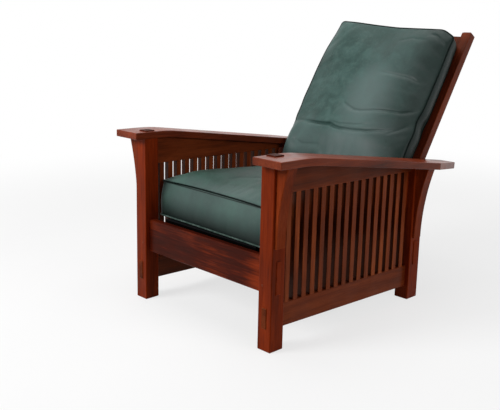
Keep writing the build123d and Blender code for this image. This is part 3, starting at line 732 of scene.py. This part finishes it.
def crease(p, line, depth, width, puff, reach):
    """Displacement of a fold: a narrow valley along a line, with a soft swelling below it.

    line is points of x, y; the effect fades towards both ends."""
    line = np.array(line, float)
    best = np.full(len(p), 1e9)
    side = np.zeros(len(p))
    where = np.zeros(len(p))
    total = len(line) - 1
    for k in range(total):
        a, b = line[k], line[k + 1]
        ab = b - a
        t = np.clip(((p[:, :2] - a) @ ab) / (ab @ ab), 0, 1)
        q = a + t[:, None] * ab
        d = np.linalg.norm(p[:, :2] - q, axis=1)
        hit = d < best
        best[hit] = d[hit]
        cross = ab[0] * (p[:, 1] - a[1]) - ab[1] * (p[:, 0] - a[0])
        side[hit] = np.sign(cross)[hit]
        where[hit] = ((k + t) / total)[hit]
    fade = np.clip(np.sin(np.pi * np.clip(where, 0.001, 0.999)) * 1.6, 0, 1)
    valley = -depth * np.exp(-(best / (width * np.where(side < 0, 1.5, 0.75))) ** 2)
    swell = puff * (best / reach) * np.exp(1 - best / reach) * np.where(side < 0, 1.0, 0.55)
    return (valley + swell) * fade


def local_of(pts, at, along, out):
    """World metres to a cushion's own millimetres."""
    d = (np.asarray(pts) - at) * 1000
    return np.column_stack([d @ SIDE, d @ along, d @ out])


def on_crown(p, seam):
    """1 on the crowned face, 0 below the seam."""
    return np.clip((p[:, 2] - seam + 2) / 14, 0, 1)


# ---------------------------------------------------------------- seat cushion
# each fold: points of its line, depth, width, swelling beside it and reach of the swelling
SEAT_FOLDS = (
    (((-60, -250), (-20, -190), (40, -160), (90, -170)), 1.2, 9, 0.8, 26),
    (((-240, -120), (-200, -30), (-190, 60), (-215, 140)), 1.6, 9, 1.0, 26),
    (((90, -40), (150, 10), (215, 20), (262, 5)), 1.5, 8, 1.0, 24),
    (((-160, 150), (-60, 185), (60, 180), (170, 150)), 1.6, 10, 1.2, 28),
)
# how much fuller the crown is from front to rear, and the ceiling that the back leaves it
SEAT_FULLER = ((-316, -250, -150, -60, 60, 200, 270, 310), (0, 3, 11, 18, 22, 16, 6, 0), 12)
SEAT_CEILING = ((100, 150, 190, 215, 235, 255, 310), (215, 200, 178, 152, 144, 140, 140), 10)
CEILING_SOFTNESS = 3.0


def finish_seat(obj):
    """Folds, uneven filling and the lie of the seat cushion."""
    p = local_of(coords_of(obj.data), SEAT_AT, SEAT_ALONG, SEAT_OUT)
    topness = on_crown(p, SEAT_SEAM)
    lift = smooth_noise(p, 3, (300, 150, 80), 1.5) * topness
    for fold in SEAT_FOLDS:
        lift = lift + crease(p, *fold) * topness
    p[:, 2] += lift
    # the filling lifts the side seams between their corners
    between = np.clip(np.cos(p[:, 1] / 320 * math.pi / 2), 0, 1) ** 0.6
    p[:, 2] += 8.0 * (np.abs(p[:, 0]) / 290) ** 3 * between * np.clip(p[:, 2] / SEAT_SEAM, 0, 1)
    # it is fuller towards the rear
    inside = np.clip((310 - np.abs(p[:, 0])) / 60, 0.35, 1)
    p[:, 2] += eased(p[:, 1], *SEAT_FULLER) * np.clip(p[:, 2] / SEAT_SEAM, 0, 1) * inside
    # and stays under the back cushion, which needs that room when it is upright
    room = eased(p[:, 1], *SEAT_CEILING)
    p[:, 2] = -CEILING_SOFTNESS * np.logaddexp(
        -p[:, 2] / CEILING_SOFTNESS, -room / CEILING_SOFTNESS
    )
    # it spreads into the room behind the sitter's right post
    spread = 4 + 11 * np.clip((-p[:, 1] - 170) / 130, 0, 1)
    p[:, 0] -= spread * np.clip(-p[:, 0] / 287, 0, 1) ** 2
    # the loose cushion sits a little askew: further forward at the sitter's left
    p[:, 1] -= 11.0 * (p[:, 0] / 283) * np.clip(-p[:, 1] / 315, 0, 1)
    set_coords(obj.data, seat_space(p))


# ---------------------------------------------------------------- back cushion
MAIN_FOLD = (
    (-305, 238), (-231, 232), (-124, 222), (-71, 223), (-33, 214),
    (2, 212), (47, 211), (109, 214), (184, 232), (240, 252),
)
DEEP_FOLD = ((-215, 231), (-160, 225), (-124, 222), (-71, 223), (-33, 214), (6, 211))
SECOND_FOLD = (
    (-48, 322), (-21, 307), (14, 294), (49, 293), (123, 305), (209, 312), (245, 324), (284, 342),
)
BACK_FOLDS = (
    (MAIN_FOLD, 4.5, 6, 6.0, 32),
    (DEEP_FOLD, 7.5, 4.5, 2.5, 16),
    (SECOND_FOLD, 4.0, 5, 3.0, 24),
    (((-60, 345), (-44, 318), (-14, 304)), 2.0, 5, 0.8, 14),
    (((51, 462), (128, 459), (192, 454), (236, 440)), 2.4, 5, 1.4, 20),
    (((-80, 234), (-26, 228), (58, 233), (132, 247)), 2.2, 5, 1.0, 14),
    (((190, 214), (225, 240), (264, 274)), 2.2, 6, 1.2, 16),
    (((-250, 150), (-180, 128), (-80, 136)), 1.4, 8, 1.0, 22),
    (((60, 610), (130, 628), (210, 622)), 1.4, 8, 1.0, 22),
    (((196, 662), (232, 652), (276, 630)), 4.0, 7, 1.5, 16),
)
BACK_SPREAD = ((60, 205, 255, 330, 470, 570, 640, 700), (0, 3, 15, 19, 18, 9, -5, -9), 14)
TOP_SAG = ((-280, -188, -80, 22, 150, 232, 262, 282), (7, 0, -10, -18, -20, -21, -37, -47), 13)


def finish_back(obj):
    """Folds, slumped filling and sagging top of the back cushion."""
    p = local_of(coords_of(obj.data), BACK_AT, BACK_ALONG, BACK_OUT)
    front = on_crown(p, BACK_SEAM)
    lift = smooth_noise(p, 8, (340, 170, 90), 2.0) * front
    for fold in BACK_FOLDS:
        lift = lift + crease(p, *fold) * front
    p[:, 2] += lift
    # the near and far edges move a little where the fold meets the seam
    near_fold = np.exp(-((p[:, 1] - 300) / 34) ** 2)
    dent = near_fold * np.clip((np.abs(p[:, 0]) - 215) / 60, 0, 1)
    p[:, 0] -= np.where(p[:, 0] > 0, 8.0, -2.0) * dent
    # above the arms the soft cushion spreads past the back frame
    outward = np.where(p[:, 0] < 0, -1.0, 0.25) * (np.abs(p[:, 0]) / 290) ** 2
    p[:, 0] += outward * eased(p[:, 1], *BACK_SPREAD)
    # the filling slumps below the main fold, most at the sides
    beside = np.exp(-((np.abs(p[:, 0]) - 262) / 36) ** 2)
    shoulder = beside * np.exp(-((p[:, 1] - 145) / 75) ** 4)
    p[:, 2] += np.where(p[:, 0] < 0, 17.0, 8.0) * shoulder * on_crown(p, BACK_SEAM)
    # the filling has settled: the top edge sags between its corners
    upper = np.clip((p[:, 1] - 480) / 215, 0, 1) ** 1.5
    p[:, 1] += upper * eased(p[:, 0], *TOP_SAG)
    set_coords(obj.data, back_space(p))


# ---------------------------------------------------------------- cushion pieces
WELT_RADIUS = 0.0029
WELT_LIFT = 0.0014
WELT_SIDES = 12


def subdivided(obj):
    mod = obj.modifiers.new("sub", "SUBSURF")
    mod.levels = mod.render_levels = 1
    deps = bpy.context.evaluated_depsgraph_get()
    new = bpy.data.meshes.new_from_object(obj.evaluated_get(deps))
    obj.modifiers.remove(mod)
    old = obj.data
    obj.data = new
    bpy.data.meshes.remove(old)


def smooth(obj):
    for poly in obj.data.polygons:
        poly.use_smooth = True


def welt(name, pts, away, mat, body):
    """Piping: a round tube that follows a seam."""
    n = len(pts)
    pts = np.asarray(pts) + np.asarray(away) * WELT_LIFT
    tangent = np.roll(pts, -1, 0) - np.roll(pts, 1, 0)
    tangent /= np.linalg.norm(tangent, axis=1, keepdims=True)
    e1 = away - (away * tangent).sum(1, keepdims=True) * tangent
    e1 /= np.linalg.norm(e1, axis=1, keepdims=True)
    e2 = np.cross(tangent, e1)
    verts, faces = [], []
    for k in range(n):
        for j in range(WELT_SIDES):
            a = 2 * math.pi * j / WELT_SIDES
            verts.append(tuple(pts[k] + WELT_RADIUS * (math.cos(a) * e1[k] + math.sin(a) * e2[k])))
    for k in range(n):
        for j in range(WELT_SIDES):
            a, b = k * WELT_SIDES, ((k + 1) % n) * WELT_SIDES
            nxt = (j + 1) % WELT_SIDES
            faces.append((a + j, a + nxt, b + nxt, b + j))
    mesh = bpy.data.meshes.new(name)
    mesh.from_pydata(verts, [], faces)
    mesh.materials.append(mat)
    obj = bpy.data.objects.new(name, mesh)
    scene.collection.objects.link(obj)
    smooth(obj)
    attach(obj, body)
    return obj


def dress_cushion(obj, rings, centre, finish, mat, under_mat, body, node, tag):
    subdivided(obj)
    finish(obj)
    for ids, part, piping in ((rings[0], "top", welt_painted_shade), (rings[-1], "under", under_mat)):
        pts = coords_of(obj.data)[ids]
        away = pts - centre
        away /= np.linalg.norm(away, axis=1, keepdims=True)
        made = welt(f"{tag}_welt_{part}", pts, away, piping, body)
        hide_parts(node)
    obj.data.materials.clear()
    obj.data.materials.append(mat)
    smooth(obj)
    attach(obj, body)
    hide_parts(node)


dress_cushion(
    seat, seat_rings, seat_space(np.array([0, 0, 66.0])), finish_seat,
    leather_seat, welt_painted_highlight, "frame", "seat_cushion", "seat",
)
dress_cushion(
    back, back_rings, back_space(np.array([0, 370.0, 55.0])), finish_back,
    leather_back, welt_painted_shade, "back", "back_cushion", "back",
)

# ---------------------------------------------------------------- joint pins
pin_mat = wood("wood_pin", "x", ((150, 84, 60), (112, 52, 34), (70, 28, 17)), rough=0.42)
PIN_SIDE = 6.5
# half width as a share of the side, and height over the wood in millimetres
PIN_ROWS = ((0.50, -2.0), (0.50, 0.3), (0.42, 0.9), (0.24, 1.2))
PIN_CORNERS = (
    (-1, -1), (-0.8, -1), (0.8, -1), (1, -0.8), (1, 0.8), (0.8, 1), (-0.8, 1), (-1, 0.8),
)


def pin(name, centre, normal, body):
    """Small square locking pin with a domed end, standing just proud of the wood."""
    bm = bmesh.new()
    n = Vector(normal).normalized()
    e1 = (Vector((0, 0, 1)) - n * n.z).normalized()
    e2 = n.cross(e1)
    rows = []
    for half, rise in PIN_ROWS:
        row = []
        for a, b in PIN_CORNERS:
            off = (e1 * a * half + e2 * b * half) * PIN_SIDE / 1000
            row.append(bm.verts.new(Vector(centre) + off + n * rise / 1000))
        rows.append(row)
    for r0, r1 in zip(rows[:-1], rows[1:]):
        for k in range(len(r0)):
            nxt = (k + 1) % len(r0)
            bm.faces.new((r0[k], r0[nxt], r1[nxt], r1[k]))
    bm.faces.new(rows[-1])
    bm.faces.new(list(reversed(rows[0])))
    bmesh.ops.recalc_face_normals(bm, faces=bm.faces)
    mesh = bpy.data.meshes.new(name)
    bm.to_mesh(mesh)
    bm.free()
    mesh.materials.append(pin_mat)
    obj = bpy.data.objects.new(name, mesh)
    scene.collection.objects.link(obj)
    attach(obj, body)


FORWARD = (in_frame(0, -1, 0) - in_frame(0, 0, 0)) * 1000
for sign, side_name in ((1, "left"), (-1, "right")):
    for end, depth, height, direction in (
        ("front", 0, 212, FORWARD), ("rear", 752, 168, -FORWARD),
    ):
        place = in_frame(sign * 311, depth, height)
        pin(f"pin_{end}_{side_name}", place, direction, "frame")


# ---------------------------------------------------------------- stage
def seen_rays(tree):
    """1 for what the camera sees, also in or through a piece, and 0 for light on the object."""
    path = tree.nodes.new("ShaderNodeLightPath")
    total = path.outputs["Is Camera Ray"]
    for other in ("Is Glossy Ray", "Is Transmission Ray"):
        n = tree.nodes.new("ShaderNodeMath")
        n.operation = "MAXIMUM"
        tree.links.new(total, n.inputs[0])
        tree.links.new(path.outputs[other], n.inputs[1])
        total = n.outputs[0]
    return total


FLOOR_HALF = 40
floor_mesh = bpy.data.meshes.new("floor")
floor_mesh.from_pydata(
    [(x * FLOOR_HALF, y * FLOOR_HALF, 0.0) for x, y in ((-1, -1), (1, -1), (1, 1), (-1, 1))],
    [], [(0, 1, 2, 3)],
)
floor = bpy.data.objects.new("floor", floor_mesh)
scene.collection.objects.link(floor)

# the floor keeps the shadow near the chair and is plain white further off
fm = Mat("floor_pale")
seen = seen_rays(fm.tree)
reach = fm.node("VectorMath")
reach.operation = "LENGTH"
fm.link(fm.coords(), reach.inputs[0])
far = fm.span(reach.outputs["Value"], 1.2, 3.2, 0.72, 1.0)
clouds = fm.noise(fm.coords(), 2.0, 3, 0.5)
pale = fm.ramp(clouds, ((0.3, (0.90, 0.90, 0.90)), (0.7, (0.93, 0.93, 0.93))))
fm.set(
    base_color=fm.mix(seen, (0.42, 0.42, 0.42), pale), roughness=0.9, specular_ior_level=0.1,
)
glow = fm.node("Emission")
glow.inputs["Color"].default_value = (1, 1, 1, 1)
glow.inputs["Strength"].default_value = 1.0
both = fm.node("MixShader")
fm.link(fm.mul(seen, far), both.inputs[0])
fm.link(fm.bsdf.outputs[0], both.inputs[1])
fm.link(glow.outputs[0], both.inputs[2])
fm.link(both.outputs[0], fm.out.inputs[0])
floor.data.materials.append(fm.mat)

# ---------------------------------------------------------------- light
ROOM_STRENGTH = 0.13
world = bpy.data.worlds.new("studio")
scene.world = world
world.use_nodes = True
wt = world.node_tree
wt.nodes.clear()
world_out = wt.nodes.new("ShaderNodeOutputWorld")
world_mix = wt.nodes.new("ShaderNodeMixShader")
wt.links.new(seen_rays(wt), world_mix.inputs[0])
for socket, strength in ((1, ROOM_STRENGTH), (2, 1.0)):
    shade = wt.nodes.new("ShaderNodeBackground")
    shade.inputs[0].default_value = (1, 1, 1, 1)
    shade.inputs[1].default_value = strength
    wt.links.new(shade.outputs[0], world_mix.inputs[socket])
wt.links.new(world_mix.outputs[0], world_out.inputs[0])


def softbox(name, at, to, size, power):
    light = bpy.data.lights.new(name, "AREA")
    light.shape = "RECTANGLE"
    light.size, light.size_y = size
    light.energy = power
    obj = bpy.data.objects.new(name, light)
    obj.location = at
    obj.rotation_euler = (Vector(to) - Vector(at)).to_track_quat("-Z", "Y").to_euler()
    scene.collection.objects.link(obj)


softbox("key", (-1.3, -3.4, 2.3), (0, 0, 0.45), (1.6, 1.4), 104)
softbox("over", (-0.3, 0.1, 3.4), (0, 0, 0.4), (2.6, 2.6), 48)
softbox("fill", (3.6, 0.3, 1.9), (0, 0, 0.45), (1.8, 1.8), 31)

# ---------------------------------------------------------------- camera
CAMERA_BELOW_LEVEL = 14.13
CAMERA_TURN = 47.23
camera_data = bpy.data.cameras.new("camera")
camera_data.sensor_width = 36
camera_data.lens = 59.12
camera = bpy.data.objects.new("camera", camera_data)
camera.location = (2.031, -1.636 + ORIGIN[1], 1.064)
camera.rotation_euler = (math.radians(90 - CAMERA_BELOW_LEVEL), 0, math.radians(CAMERA_TURN))
scene.collection.objects.link(camera)
scene.camera = camera
scene.view_settings.view_transform = "Standard"
